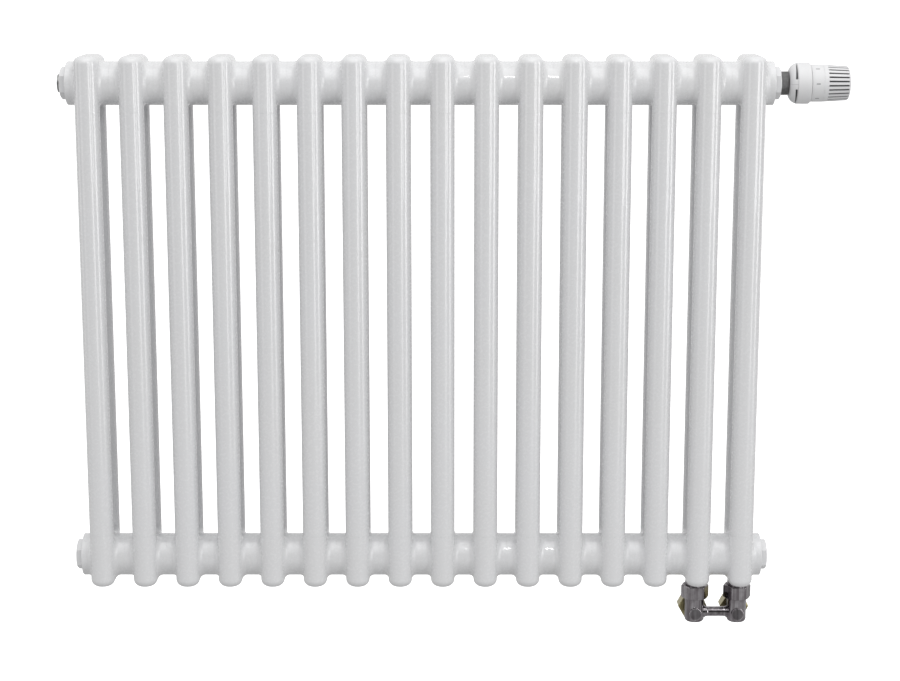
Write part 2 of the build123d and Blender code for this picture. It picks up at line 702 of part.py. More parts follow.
with BuildPart() as hblock_bridge:
    bridge_start = return_x + BRIDGE_COLLAR_REACH
    bridge_length = PITCH - 2 * BRIDGE_COLLAR_REACH
    add(rod(across_x(bridge_start, cross_axis), BRIDGE_OD, bridge_length, BRIDGE_BORE))
write(hblock_bridge.part, "hblock_bridge")


def ball_stem(x: float) -> Part:
    """Ball with an angled port and a stem with a key socket towards the front."""
    with BuildPart() as piece:
        with Locations((x, 0, cross_axis)):
            Sphere(ball_radius)
        with BuildSketch(forwards(x, 0)):
            Circle(STEM_OD / 2)
        extrude(amount=STEM_REACH)
        with BuildSketch(Plane(origin=(x, 0, cross_axis))):
            Circle(BALL_PORT / 2)
        extrude(amount=BLOCK_BORE, mode=Mode.SUBTRACT)
        with BuildSketch(backwards(x, 0)):
            Circle(BALL_PORT / 2)
        extrude(amount=BLOCK_BORE, mode=Mode.SUBTRACT)
        with BuildSketch(forwards(x, STEM_SOCKET_DEPTH - STEM_REACH)):
            RegularPolygon(STEM_SOCKET_FLATS / 2, 6, major_radius=False)
        extrude(amount=STEM_SOCKET_DEPTH, mode=Mode.SUBTRACT)
    return piece.part


def shutoff_cap(x: float) -> Part:
    """Round cap over a stem, with a skirt in the block's front bore."""
    with BuildPart() as piece:
        with BuildSketch(forwards(x, -CAP_SEAT)):
            Circle(CAP_OD / 2)
        extrude(amount=CAP_THICKNESS)
        chamfer(piece.edges().filter_by(GeomType.CIRCLE).sort_by(Axis.Y)[0], 0.4)
        with BuildSketch(backwards(x, -CAP_SEAT)):
            Circle(CAP_SKIRT_OD / 2)
            Circle(CAP_SKIRT_OD / 2 - 1.2, mode=Mode.SUBTRACT)
        extrude(amount=CAP_SKIRT)
    return piece.part


write(ball_stem(supply_x), "shutoff_stem_supply")
write(ball_stem(return_x), "shutoff_stem_return")
write(shutoff_cap(supply_x), "shutoff_cap_supply")
write(shutoff_cap(return_x), "shutoff_cap_return")

with BuildPart() as pipe_nuts:
    for x in (supply_x, return_x):
        add(hexagon(backwards(x, PIPE_NUT_START), PIPE_NUT_FLATS, PIPE_NUT_LENGTH, 0.0, "both"))
    for x in (supply_x, return_x):
        with BuildSketch(backwards(x, PIPE_NUT_START)):
            Circle(SPIGOT_OD / 2 + THREAD)
        extrude(amount=PIPE_NUT_LENGTH - PIPE_NUT_LIP, mode=Mode.SUBTRACT)
        with BuildSketch(backwards(x, PIPE_NUT_START)):
            Circle(PIPE_OD / 2 + LIP_CLEARANCE)
        extrude(amount=PIPE_NUT_LENGTH, mode=Mode.SUBTRACT)
write(pipe_nuts.part, "pipe_nuts")
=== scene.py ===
"""Looks of a two-column tubular radiator with a thermostatic valve and a bottom H-block.

Lengths are in metres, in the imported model's frame: X along the headers, Y towards the wall
and Z up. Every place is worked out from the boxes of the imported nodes.
"""

import logging
import math
from dataclasses import dataclass, field
from enum import Enum
from typing import Callable, Optional, Sequence

import bmesh
import bpy
import numpy as np
from mathutils import Euler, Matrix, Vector


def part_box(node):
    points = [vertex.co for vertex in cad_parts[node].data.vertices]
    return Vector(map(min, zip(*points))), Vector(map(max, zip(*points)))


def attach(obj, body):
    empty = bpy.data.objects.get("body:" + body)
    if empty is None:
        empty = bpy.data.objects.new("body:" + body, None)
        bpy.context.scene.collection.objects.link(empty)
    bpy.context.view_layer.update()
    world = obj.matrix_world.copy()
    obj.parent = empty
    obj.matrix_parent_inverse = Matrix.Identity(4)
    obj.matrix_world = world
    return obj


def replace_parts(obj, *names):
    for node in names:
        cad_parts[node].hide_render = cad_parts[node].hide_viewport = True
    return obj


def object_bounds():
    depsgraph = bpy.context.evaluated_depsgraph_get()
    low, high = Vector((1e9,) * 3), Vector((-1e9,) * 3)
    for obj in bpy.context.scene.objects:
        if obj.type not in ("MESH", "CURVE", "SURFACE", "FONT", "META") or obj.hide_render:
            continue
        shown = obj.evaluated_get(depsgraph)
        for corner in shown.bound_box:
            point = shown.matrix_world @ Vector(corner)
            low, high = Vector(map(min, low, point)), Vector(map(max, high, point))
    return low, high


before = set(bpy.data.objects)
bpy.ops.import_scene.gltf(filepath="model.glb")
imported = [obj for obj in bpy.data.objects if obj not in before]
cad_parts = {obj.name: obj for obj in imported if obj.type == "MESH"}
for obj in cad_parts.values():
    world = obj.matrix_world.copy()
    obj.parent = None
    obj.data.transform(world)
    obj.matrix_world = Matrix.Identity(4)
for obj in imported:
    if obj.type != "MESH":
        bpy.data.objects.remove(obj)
CAD_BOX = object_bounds()

LOG = logging.getLogger("radiator")
MM = 0.001
SHADE = "shade"             # attribute: 0 on the finish; painted shade, 1, in slots and windows; a painted dark reflection on cap faces; grey on printed marks and in the parting groove
SECTION_COUNT = 16
ENDLESS = 1e9               # a band's far side, where it has none
PLAIN_SHARE = 12            # points of an outline per point kept where nothing is cut into it

Outline = np.ndarray        # rows of (along the axis, radius)
Limit = Callable[[np.ndarray, np.ndarray, np.ndarray], np.ndarray]
Busy = Callable[[np.ndarray, np.ndarray], np.ndarray]


class Slot(Enum):
    """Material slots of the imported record."""

    ENAMEL = "radiator_paint"
    PLUG = "plug_paint"
    PLASTIC = "head_plastic"
    DARK = "dark_plastic"
    NICKEL = "polished_nickel"
    SATIN = "satin_nickel"
    KNURL = "knurled_nickel"
    OLIVE = "olive_brass"
    BRASS = "brass"
    STEEL = "spindle_steel"
    SHEET = "plain_steel"
    SEAL = "seal_fibre"


# ---- Materials ----


@dataclass(frozen=True)
class Wire:
    """One output in a node tree; arithmetic on it adds Math nodes."""

    shop: "NodeShop"
    socket: bpy.types.NodeSocket

    def _math(self, operation: str, first: object, second: object) -> "Wire":
        """Add one Math node.

        Args:
            operation: The node's operation.
            first: A wire or a number.
            second: A wire or a number.

        Returns:
            The node's result.
        """
        return self.shop.add("ShaderNodeMath", {"operation": operation}, {0: first, 1: second}).out()

    def __add__(self, other: object) -> "Wire":
        """This plus another."""
        return self._math("ADD", self, other)

    def __radd__(self, other: object) -> "Wire":
        """Another plus this."""
        return self._math("ADD", other, self)

    def __sub__(self, other: object) -> "Wire":
        """This minus another."""
        return self._math("SUBTRACT", self, other)

    def __rsub__(self, other: object) -> "Wire":
        """Another minus this."""
        return self._math("SUBTRACT", other, self)

    def __mul__(self, other: object) -> "Wire":
        """This times another."""
        return self._math("MULTIPLY", self, other)

    def __rmul__(self, other: object) -> "Wire":
        """Another times this."""
        return self._math("MULTIPLY", other, self)


@dataclass(frozen=True)
class Node:
    """A node just added to a tree."""

    shop: "NodeShop"
    node: bpy.types.Node

    def out(self, key: object = 0) -> Wire:
        """The output with that name or number."""
        return Wire(self.shop, self.node.outputs[key])


class NodeShop:
    """Adds the nodes of one material, or of the world."""

    def __init__(self, name: str, world: bool = False) -> None:
        """Start an empty node tree.

        Args:
            name: The name of the material or world.
            world: True for a world.
        """
        self.owner = bpy.data.worlds.new(name) if world else bpy.data.materials.new(name)
        self.owner.use_nodes = True
        self.tree = self.owner.node_tree
        self.tree.nodes.clear()
        place = "Generated" if world else "Object"
        self.coordinates = self.add("ShaderNodeTexCoord", {}, {}).out(place)

    def add(self, kind: str, settings: dict[str, object], values: dict[object, object]) -> Node:
        """Add any node: its settings first, then its sockets.

        Args:
            kind: The node's type.
            settings: Values of the node itself.
            values: Numbers, colours or wires by socket name or number.

        Returns:
            The new node.
        """
        node = self.tree.nodes.new(kind)
        for key, value in settings.items():
            if key == "stops":
                self.set_stops(node, value)
            else:
                setattr(node, key, value)
        for key, value in values.items():
            if isinstance(value, Wire):
                self.tree.links.new(value.socket, node.inputs[key])
            else:
                node.inputs[key].default_value = value
        return Node(self, node)

    @staticmethod
    def set_stops(node: bpy.types.Node, stops: Sequence[tuple[float, float]]) -> None:
        """Give a colour ramp its grey stops, each a place and a brightness."""
        elements = node.color_ramp.elements
        elements[0].position, elements[1].position = stops[0][0], stops[-1][0]
        for place, _ in stops[1:-1]:
            elements.new(place)
        for element, (_, grey) in zip(elements, stops):
            element.color = (grey, grey, grey, 1.0)

    def noise(self, cell: float, detail: float = 2.0, rough: float = 0.5,
              where: Optional[Wire] = None) -> Wire:
        """Smooth noise from 0 to 1.

        Args:
            cell: Length of its cells.
            detail: Number of finer layers.
            rough: Strength of the finer layers.
            where: Coordinates, if not the object's own.

        Returns:
            The noise.
        """
        values = {"Vector": where or self.coordinates, "Scale": 1.0 / cell, "Detail": detail,
                  "Roughness": rough}
        return self.add("ShaderNodeTexNoise", {}, values).out("Fac")

    def spread(self, mask: Wire, low: float, high: float) -> Wire:
        """A mask's middle band, 0.3 to 0.7, mapped to low and high."""
        values = {"Value": mask, "From Min": 0.3, "From Max": 0.7, "To Min": low, "To Max": high}
        return self.add("ShaderNodeMapRange", {"clamp": True}, values).out("Result")

    def mix(self, share: object, first: object, second: object) -> Wire:
        """Two colours mixed by a share of the second."""
        settings = {"data_type": "RGBA", "blend_type": "MIX"}
        return self.add("ShaderNodeMix", settings, {0: share, 6: first, 7: second}).out(2)

    def shade(self) -> Wire:
        """The piece's own mask: painted shade in slots and windows, a painted dark reflection on cap
        faces, and print.
        """
        return self.add("ShaderNodeAttribute", {"attribute_name": SHADE}, {}).out("Fac")

    def crevice(self, reach: float) -> Wire:
        """Ambient occlusion for painting shade into corners: 1 on open surface and 0 deep in a corner,
        within a reach.
        """
        values = {"Distance": reach}
        return self.add("ShaderNodeAmbientOcclusion", {"samples": 4}, values).out("AO")

    def relief(self, height: Wire, depth: float, edge: float) -> Wire:
        """Normal with a height in metres times depth, and edges rounded to a radius.

        Args:
            height: The pattern, from 0 to 1.
            depth: The pattern's depth.
            edge: Radius that sharp edges seem to have; 0 leaves them as they are.

        Returns:
            The normal.
        """
        values: dict[object, object] = {"Height": height, "Distance": depth, "Strength": 1.0}
        if edge:
            values["Normal"] = self.add("ShaderNodeBevel", {"samples": 4}, {"Radius": edge}).out()
        return self.add("ShaderNodeBump", {}, values).out()

    def finish(self, values: dict[str, object]) -> bpy.types.Material:
        """Close the material with its surface shader."""
        surface = self.add("ShaderNodeBsdfPrincipled", {}, values).out()
        self.add("ShaderNodeOutputMaterial", {}, {"Surface": surface})
        return self.owner


Colour = tuple[float, float, float, float]


@dataclass(frozen=True)
class Enamel:
    """Baked white enamel: a smooth gloss with a faint orange peel, and painted shade that greys its
    corners.
    """

    name: str = "white_enamel"
    colour: Colour = (0.800, 0.805, 0.822, 1.0)
    warm: Colour = (0.790, 0.790, 0.792, 1.0)
    # painted shade: the grey that ambient occlusion mixes into corners
    corner: Colour = (0.560, 0.560, 0.585, 1.0)
    roughness: float = 0.24
    peel_cell: float = 2.6 * MM
    peel_depth: float = 0.007 * MM
    coat: float = 0.8
    cloud_cell: float = 90 * MM
    painted_shade_reach: float = 16 * MM
    painted_shade_share: float = 0.22
    soft_edge: float = 0.5 * MM

    def build(self) -> bpy.types.Material:
        """Make the material."""
        shop = NodeShop(self.name)
        clouds = shop.noise(self.cloud_cell)
        body = shop.mix(clouds, self.colour, self.warm)
        # painted shade: corners greyed where ambient occlusion finds them
        corners = (1 - shop.crevice(self.painted_shade_reach)) * self.painted_shade_share
        body = shop.mix(corners, body, self.corner)
        peel = shop.noise(self.peel_cell, 1.0)
        return shop.finish({
            "Base Color": body,
            "Roughness": peel * 0.06 + self.roughness,
            "Coat Weight": self.coat,
            "Coat Roughness": 0.03,
            "IOR": 1.45,
            "Normal": shop.relief(peel, self.peel_depth, self.soft_edge),
        })


@dataclass(frozen=True)
class Plastic:
    """Moulded satin plastic with a fine spark-eroded grain."""

    name: str
    colour: Colour
    # dark colour of the print, also used for painted shade in corners, slots and windows
    mark: Colour
    roughness: float = 0.42
    cloud_cell: float = 28 * MM
    fade: float = 0.965
    painted_shade_reach: float = 4 * MM
    painted_shade_share: float = 0.35
    grain_cell: float = 0.35 * MM
    grain_depth: float = 0.010 * MM
    soft_edge: float = 0.25 * MM

    def build(self) -> bpy.types.Material:
        """Make the material."""
        shop = NodeShop(self.name)
        clouds = shop.noise(self.cloud_cell)
        faded = tuple(self.fade * part for part in self.colour[:3]) + (1.0,)
        body = shop.mix(shop.spread(clouds, 0.0, 1.0), self.colour, faded)
        # painted shade: corners darkened where ambient occlusion finds them
        corners = (1 - shop.crevice(self.painted_shade_reach)) * self.painted_shade_share
        body = shop.mix(corners, body, self.mark)
        # painted shade in slots and windows, and grey print, from the shade mask
        body = shop.mix(shop.shade(), body, self.mark)
        grain = shop.noise(self.grain_cell)
        return shop.finish({
            "Base Color": body,
            "Roughness": shop.spread(grain, self.roughness - 0.05, self.roughness + 0.07),
            "Normal": shop.relief(grain, self.grain_depth, self.soft_edge),
        })


@dataclass(frozen=True)
class Plate:
    """Metal or plated metal: a fine grain, clouds of tarnish, painted reflection streaks, painted shade
    in the corners, and a painted dark reflection where the shade mask is set.
    """

    name: str
    colour: Colour
    # tarnish clouds, and the dark of the painted reflection streaks and of the painted shade in corners
    tarnish_and_painted_shade: Colour
    roughness: float
    tarnish_share: float = 0.5
    grain_cell: float = 1.2 * MM
    grain_depth: float = 0.006 * MM
    edge: float = 0.3 * MM
    # strength of the painted reflection streaks
    painted_reflection_streaks: float = 0.0
    streak_cell: float = 3.2 * MM
    streak_stretch: float = 0.04
    cloud_cell: float = 9 * MM
    painted_shade_reach: float = 5 * MM
    painted_shade_share: float = 0.7
    # painted dark reflection, mixed in where the shade mask is set, as on the cap faces
    painted_reflection_colour: Colour = (0.03, 0.03, 0.03, 1.0)

    def build(self) -> bpy.types.Material:
        """Make the material."""
        shop = NodeShop(self.name)
        clouds = shop.noise(self.cloud_cell, 4.0, 0.6)
        body = shop.mix(shop.spread(clouds, 0.0, self.tarnish_share), self.colour, self.tarnish_and_painted_shade)
        # painted reflection: streaks stretched along Z, mixed towards the dark colour
        if self.painted_reflection_streaks:
            streak_space = shop.add("ShaderNodeVectorMath", {"operation": "MULTIPLY"},
                             {0: shop.coordinates, 1: (1.0, 1.0, self.streak_stretch)}).out()
            reflection_streaks = shop.noise(self.streak_cell, 2.0, 0.6, streak_space)
            body = shop.mix(shop.spread(reflection_streaks, 0.0, self.painted_reflection_streaks), body, self.tarnish_and_painted_shade)
        # painted shade: corners darkened where ambient occlusion finds them
        corners = (1 - shop.crevice(self.painted_shade_reach)) * self.painted_shade_share
        body = shop.mix(corners, body, self.tarnish_and_painted_shade)
        # painted dark reflection from the shade mask
        body = shop.mix(shop.shade(), body, self.painted_reflection_colour)
        grain = shop.noise(self.grain_cell, 3.0)
        return shop.finish({
            "Base Color": body,
            "Metallic": 1.0,
            "Roughness": shop.spread(grain, self.roughness, self.roughness + 0.09),
            "Normal": shop.relief(grain, self.grain_depth, self.edge),
        })


@dataclass(frozen=True)
class Seal:
    """Pale pressed-fibre seal with a coarse felted grain."""

    name: str = "pressed_fibre"
    colour: Colour = (0.52, 0.51, 0.48, 1.0)
    fleck: Colour = (0.38, 0.36, 0.33, 1.0)
    fibre: float = 0.6 * MM
    felt_depth: float = 0.03 * MM
    soft_edge: float = 0.1 * MM

    def build(self) -> bpy.types.Material:
        """Make the material."""
        shop = NodeShop(self.name)
        fibres = shop.noise(self.fibre, 4.0, 0.7)
        return shop.finish({
            "Base Color": shop.mix(shop.spread(fibres, 0.0, 1.0), self.colour, self.fleck),
            "Roughness": shop.spread(fibres, 0.7, 0.9),
            "Normal": shop.relief(fibres, self.felt_depth, self.soft_edge),
        })


FINISHES = {
    Slot.ENAMEL: Enamel(),
    Slot.PLUG: Enamel(name="white_enamel_plugs", roughness=0.22, peel_cell=1.8 * MM),
    # the near-black colour is print and painted shade in slots, windows and corners
    Slot.PLASTIC: Plastic("white_plastic", (0.800, 0.800, 0.808, 1.0), (0.055, 0.055, 0.062, 1.0)),
    Slot.DARK: Plastic("black_plastic", (0.045, 0.045, 0.050, 1.0), (0.02, 0.02, 0.02, 1.0), 0.5),
    # the near-black colour gives tarnish clouds, painted reflection streaks and painted shade in corners
    Slot.NICKEL: Plate("bright_nickel", (0.56, 0.54, 0.56, 1.0), (0.12, 0.10, 0.11, 1.0), 0.05,
                       grain_depth=0.002 * MM, painted_reflection_streaks=0.85),
    Slot.SATIN: Plate("satin_nickel", (0.46, 0.46, 0.46, 1.0), (0.26, 0.26, 0.26, 1.0), 0.34),
    Slot.KNURL: Plate("rolled_nickel", (0.24, 0.24, 0.24, 1.0), (0.09, 0.09, 0.09, 1.0), 0.36,
                      tarnish_share=0.8, grain_cell=0.7 * MM, grain_depth=0.05 * MM, edge=0.0),
    Slot.OLIVE: Plate("dull_brass", (0.40, 0.36, 0.20, 1.0), (0.17, 0.14, 0.07, 1.0), 0.24),
    Slot.BRASS: Plate("machined_brass", (0.62, 0.47, 0.22, 1.0), (0.40, 0.28, 0.12, 1.0), 0.26),
    Slot.STEEL: Plate("drawn_steel", (0.50, 0.50, 0.51, 1.0), (0.33, 0.33, 0.34, 1.0), 0.24),
    Slot.SHEET: Plate("pressed_steel", (0.40, 0.40, 0.41, 1.0), (0.22, 0.20, 0.19, 1.0), 0.42),
    Slot.SEAL: Seal(),
}


# ---- Surfaces ----


@dataclass(frozen=True)
class Axle:
    """A line that a turned piece is made about.

    origin is where the axial measure is 0, along its direction, and front the direction
    from which angles are counted, towards along x front.
    """

    origin: Vector
    along: Vector
    front: Vector

    def place(self, axial: np.ndarray, radius: np.ndarray, angle: np.ndarray) -> np.ndarray:
        """Point = origin + axial * along + radius * (cos(angle) * front + sin(angle) * side)."""
        side = self.along.cross(self.front)
        across = np.cos(angle)[..., None] * np.array(self.front)
        spokes = across + np.sin(angle)[..., None] * np.array(side)
        stations = np.array(self.origin) + axial[..., None] * np.array(self.along)
        return stations + radius[..., None] * spokes


def rounded(corners: Sequence[tuple[float, float, float]], steps: int = 5) -> Outline:
    """Closed outline with its corners rounded.

    Each corner (axial, radius, round) is replaced by a quadratic curve that leaves one side
    and joins the next at the distance round from the corner: B(t) = (1-t)^2 P + 2t(1-t) C +
    t^2 Q. A round of 0 keeps the corner.

    Args:
        corners: The corners in order.
        steps: Spans in each curve.

    Returns:
        The outline, with its first point repeated at its end.
    """
    points = np.array([corner[:2] for corner in corners], float)
    reach = np.array([corner[2] for corner in corners], float)[:, None]
    back = np.roll(points, 1, 0) - points
    ahead = np.roll(points, -1, 0) - points
    start = points + back / np.linalg.norm(back, axis=1, keepdims=True) * reach
    end = points + ahead / np.linalg.norm(ahead, axis=1, keepdims=True) * reach
    t = np.linspace(0.0, 1.0, steps + 1)[None, :, None]
    curve = (1 - t) ** 2 * start[:, None] + 2 * t * (1 - t) * points[:, None] + t ** 2 * end[:, None]
    path = curve.reshape(-1, 2)
    keep = np.ones(len(path), bool)
    keep[1:] = np.linalg.norm(np.diff(path, axis=0), axis=1) > 1e-8
    path = path[keep]
    return np.vstack([path, path[:1]])


def divided(path: Outline, step: float, busy: Optional[Busy] = None) -> Outline:
    """The same outline with no span longer than a step, by interpolation on its length.

    Args:
        path: Closed outline.
        step: Longest span.
        busy: Where the step holds, from axial and radius, if not everywhere. Elsewhere the
            surface is plain or hidden, and keeps its corners and one point in PLAIN_SHARE.

    Returns:
        The outline with more points.
    """
    length = np.concatenate([[0.0], np.cumsum(np.linalg.norm(np.diff(path, axis=0), axis=1))])
    length = np.round(length, 9)
    extra = np.round(np.arange(0.0, length[-1], step), 9)
    places = np.unique(np.concatenate([length, extra]))
    axial = np.interp(places, length, path[:, 0])
    radius = np.interp(places, length, path[:, 1])
    dense = np.stack([axial, radius], 1)
    if busy is None:
        return dense
    spaced = np.arange(len(places)) % PLAIN_SHARE == 0
    return dense[np.isin(places, length) | spaced | busy(axial, radius)]


def smooth_least(first: np.ndarray, second: np.ndarray, power: float = 70.0) -> np.ndarray:
    """The smaller of two lengths, blended where they are close: (a^-p + b^-p)^(-1/p)."""
    scale = 0.5 * (np.abs(first) + np.abs(second)) + 1e-9
    return scale * ((first / scale) ** -power + (second / scale) ** -power) ** (-1.0 / power)


def hexagonal(flats: float, turn: float = 0.0, power: float = 90.0) -> Limit:
    """Limit that cuts a turned piece to a hexagon with slightly rounded corners.

    The radius at an angle is the half width over (sum of max(0, cos(angle - k*60 deg))^p)
    ^(1/p), which is the flat's distance over the cosine with its corners blended.

    Args:
        flats: Width across the flats.
        turn: Angle of the first flat's middle.
        power: Larger is sharper.

    Returns:
        The limit for turned().
    """

    def limit(axial: np.ndarray, radius: np.ndarray, angle: np.ndarray) -> np.ndarray:
        """Radius cut to the hexagon."""
        faces = turn + np.arange(6) * math.pi / 3
        rays = np.maximum(np.cos(angle[..., None] - faces), 0.0) ** power
        edge = flats / 2 / rays.sum(-1) ** (1.0 / power)
        return np.where(radius > flats * 0.4, smooth_least(np.maximum(radius, 1e-6), edge), radius)

    return limit


@dataclass
class Skin:
    """Vertices, faces and shade of a mesh that is being put together from patches."""

    points: list[np.ndarray] = field(default_factory=list)
    quads: list[np.ndarray] = field(default_factory=list)
    shades: list[np.ndarray] = field(default_factory=list)
    count: int = 0

    def patch(self, grid: np.ndarray, shade: Optional[np.ndarray] = None) -> None:
        """Add a grid of points that closes on itself in its second direction.

        Args:
            grid: Points by station along the outline and angle about the axis.
            shade: One number for each point.
        """
        rows, columns = grid.shape[:2]
        index = np.arange(rows * columns).reshape(rows, columns) + self.count
        after = np.roll(index, -1, 1)
        faces = np.stack([index[:-1], after[:-1], after[1:], index[1:]], -1).reshape(-1, 4)
        self.points.append(grid.reshape(-1, 3))
        self.quads.append(faces)
        self.shades.append(np.zeros(rows * columns) if shade is None else shade.reshape(-1))
        self.count += rows * columns

    def piece(self, name: str, slot: Slot, body: str, smooth_angle: float = 35.0) -> bpy.types.Object:
        """Close the mesh and put it on a body.

        Args:
            name: The piece's name.
            slot: The finish.
            body: The body it moves with.
            smooth_angle: Edges sharper than this many degrees stay sharp.

        Returns:
            The new object.
        """
        mesh = bpy.data.meshes.new(name)
        points, quads = np.vstack(self.points), np.vstack(self.quads)
        mesh.vertices.add(len(points))
        mesh.vertices.foreach_set("co", points.astype(np.float32).ravel())
        mesh.loops.add(quads.size)
        mesh.loops.foreach_set("vertex_index", quads.astype(np.int32).ravel())
        mesh.polygons.add(len(quads))
        mesh.polygons.foreach_set("loop_start", np.arange(0, quads.size, 4, dtype=np.int32))
        mesh.update(calc_edges=True)
        shade = mesh.attributes.new(SHADE, "FLOAT", "POINT")
        shade.data.foreach_set("value", np.concatenate(self.shades).astype(np.float32))
        form = bmesh.new()
        form.from_mesh(mesh)
        bmesh.ops.remove_doubles(form, verts=form.verts, dist=2e-7)
        bmesh.ops.recalc_face_normals(form, faces=form.faces)
        form.to_mesh(mesh)
        form.free()
        mesh.polygons.foreach_set("use_smooth", np.ones(len(mesh.polygons), bool))
        mesh.set_sharp_from_angle(angle=math.radians(smooth_angle))
        made = bpy.data.objects.new(name, mesh)
        bpy.context.scene.collection.objects.link(made)
        mesh.materials.append(PAINTS[slot])
        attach(made, body)
        LOG.info("%s: %d faces on %s", name, len(mesh.polygons), body)
        return made


def turned(skin: Skin, path: Outline, axle: Axle, sides: int, limit: Optional[Limit] = None,
           shade: Optional[Limit] = None) -> None:
    """Add a turned surface to a skin.

    The outline (axial a, radius r) is carried round the axle: point(a, r, angle), with the
    radius changed by the limit, such as a hexagon, and a shade for slots and marks.

    Args:
        skin: The mesh being made.
        path: Closed outline.
        axle: The axis.
        sides: Points round the axis.
        limit: New radius from axial, radius and angle.
        shade: Shade from axial, radius and angle.
    """
    angle = np.arange(sides)[None, :] * 2 * math.pi / sides + np.zeros((len(path), 1))
    axial = path[:, :1] + np.zeros((1, sides))
    radius = path[:, 1:] + np.zeros((1, sides))
    marks = shade(axial, radius, angle) if shade else None
    if limit:
        radius = limit(axial, radius, angle)
    skin.patch(axle.place(axial, radius, angle), marks)


@dataclass(frozen=True)
class Measure:
    """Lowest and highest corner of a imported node's box."""

    low: Vector
    high: Vector

    @classmethod
    def of(cls, node: str) -> "Measure":
        """Measure a node."""
        low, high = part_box(node)
        return cls(low, high)

    @property
    def middle(self) -> Vector:
        """Centre of the box."""
        return (self.low + self.high) / 2

    @property
    def size(self) -> Vector:
        """Width, depth and height of the box."""
        return self.high - self.low


def dress(names: Sequence[str], slot: Slot) -> None:
    """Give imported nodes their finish."""
    for name in names:
        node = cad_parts[name]
        node.data.materials.clear()
        node.data.materials.append(PAINTS[slot])
        LOG.info("%s: %s", name, slot.value)


# ---- Radiator body ----

LEFTWARD = Vector((-1, 0, 0))
RIGHTWARD = Vector((1, 0, 0))
UPWARD = Vector((0, 0, 1))
DOWNWARD = Vector((0, 0, -1))
FORWARD = Vector((0, -1, 0))
BACKWARD = Vector((0, 1, 0))


@dataclass
class Columns:
    """Straight tubes between the heads, front row and rear row."""

    sides: int = 72
    wall: float = 1.5 * MM
    tube: float = 25.0 * MM

    def build(self) -> None:
        """Make both rows."""
        for node in ("front_tubes", "rear_tubes"):
            row = Measure.of(node)
            height = row.size.z
            first = row.low.x + self.tube / 2
            pitch = (row.size.x - self.tube) / (SECTION_COUNT - 1)
            outer = self.tube / 2
            inner = outer - self.wall
            path = rounded([(0, inner, 0), (0, outer, 0), (height, outer, 0), (height, inner, 0)], 1)
            path = divided(path, height / 4)
            skin = Skin()
            for number in range(SECTION_COUNT):
                foot = Vector((first + number * pitch, row.middle.y, row.low.z))
                turned(skin, path, Axle(foot, UPWARD, FORWARD), self.sides)
            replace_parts(skin.piece(node.replace("tubes", "columns"), Slot.ENAMEL, "radiator"), node)


@dataclass
class Ends:
    """Plugs, bush, vent and bosses at the header ends."""

    flats: float = 29.0 * MM
    proud: float = 5.8 * MM
    thread: float = 26.2 * MM
    shank_wall: float = 3.0 * MM
    bevel: float = 1.3 * MM
    valve_hole: float = 18.1 * MM
    vent_gap: float = 0.05 * MM
    sides: int = 144

    def plug(self, skin: Skin, face: Vector, out: Vector, length: float, hole: float) -> None:
        """One hexagon plug.

        Args:
            skin: The mesh being made.
            face: Point on the axis at the hexagon's inner face.
            out: Direction away from the radiator.
            length: Length of the threaded shank.
            hole: Bore through the plug, or 0.
        """
        rim = self.flats / 2 - 0.15 * MM
        corner = self.flats / math.sqrt(3) + 0.4 * MM
        bore = hole / 2
        shank = self.thread / 2
        cup = shank - self.shank_wall
        outside = [
            (self.proud, bore, 0.2 * MM if hole else 0), (self.proud, rim, 0.3 * MM),
            (self.proud - self.bevel, corner, 0.3 * MM), (0, corner, 0.2 * MM),
            (0, shank, 0), (-length, shank, 0.4 * MM),
        ]
        if hole:
            inside = [(-length, bore, 0.2 * MM)]
        else:
            inside = [(-length, cup, 0.2 * MM), (0, cup, 0.2 * MM), (0, 0, 0)]
        path = divided(rounded(outside + inside), 1.2 * MM)
        turned(skin, path, Axle(face, out, FORWARD), self.sides, hexagonal(self.flats))

    def build(self) -> None:
        """Make every plug and dress the rest."""
        dress(["end_bosses"], Slot.ENAMEL)
        dress(["seals"], Slot.SEAL)
        blind = Measure.of("blind_plugs")
        vent = Measure.of("vent_plug")
        bush = Measure.of("valve_bush")
        length = vent.size.x - self.proud
        screw_hole = Measure.of("vent_screw").size.y
        low_axis = blind.middle.z
        top_axis = vent.middle.z
        left = vent.low.x + self.proud
        right = bush.high.x - self.proud
        skin = Skin()
        self.plug(skin, Vector((left, 0, low_axis)), LEFTWARD, length, 0.0)
        self.plug(skin, Vector((right, 0, low_axis)), RIGHTWARD, length, 0.0)
        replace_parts(skin.piece("blind_hexagon_plugs", Slot.PLUG, "radiator"), "blind_plugs")
        skin = Skin()
        self.plug(skin, Vector((left, 0, top_axis)), LEFTWARD, length, screw_hole)
        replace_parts(skin.piece("vent_hexagon_plug", Slot.PLUG, "radiator"), "vent_plug")
        skin = Skin()
        self.plug(skin, Vector((right, 0, top_axis)), RIGHTWARD, length, self.valve_hole)
        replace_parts(skin.piece("valve_hexagon_bush", Slot.PLUG, "radiator"), "valve_bush")
        self.vent()

    def vent(self) -> None:
        """Vent boss, as a round disc with a soft edge."""
        boss = Measure.of("vent_boss")
        radius, depth = boss.size.y / 2, boss.size.x
        hole = Measure.of("vent_screw").size.y / 2 + self.vent_gap
        path = rounded([
            (0, hole, 0), (0, radius, 0.1 * MM), (depth, radius, 0.5 * MM), (depth, hole, 0.25 * MM),
        ])
        skin = Skin()
        foot = Vector((boss.high.x, 0, boss.middle.z))
        turned(skin, divided(path, 1.5 * MM), Axle(foot, LEFTWARD, FORWARD), 96)
        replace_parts(skin.piece("vent_disc", Slot.SATIN, "radiator"), "vent_boss")
        dress(["vent_screw"], Slot.SATIN)


# ---- Thermostatic head ----


